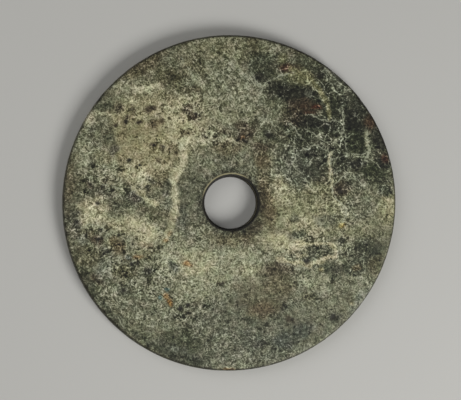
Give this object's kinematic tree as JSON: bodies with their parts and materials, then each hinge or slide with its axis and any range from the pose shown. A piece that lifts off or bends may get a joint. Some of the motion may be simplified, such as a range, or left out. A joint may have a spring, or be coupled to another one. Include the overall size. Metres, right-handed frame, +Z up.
{
  "type": "jade bi disc",
  "caption": "Flat round ring of mottled green jade with a small drilled hole in its middle, lying flat as an ornament or ritual disc.",
  "frame": {"origin": "middle of the underside, on the axis of the hole", "axes": "+Z up through the thickness, out of the more polished face; +Y towards the top of the picture and +X to its right"},
  "size_m": [0.2296, 0.2304, 0.012],
  "materials": {
    "mottled_jade": "weathered polish"
  },
  "bodies": {
    "root": {"jade_disc": "mottled_jade"}
  },
  "joints": []
}
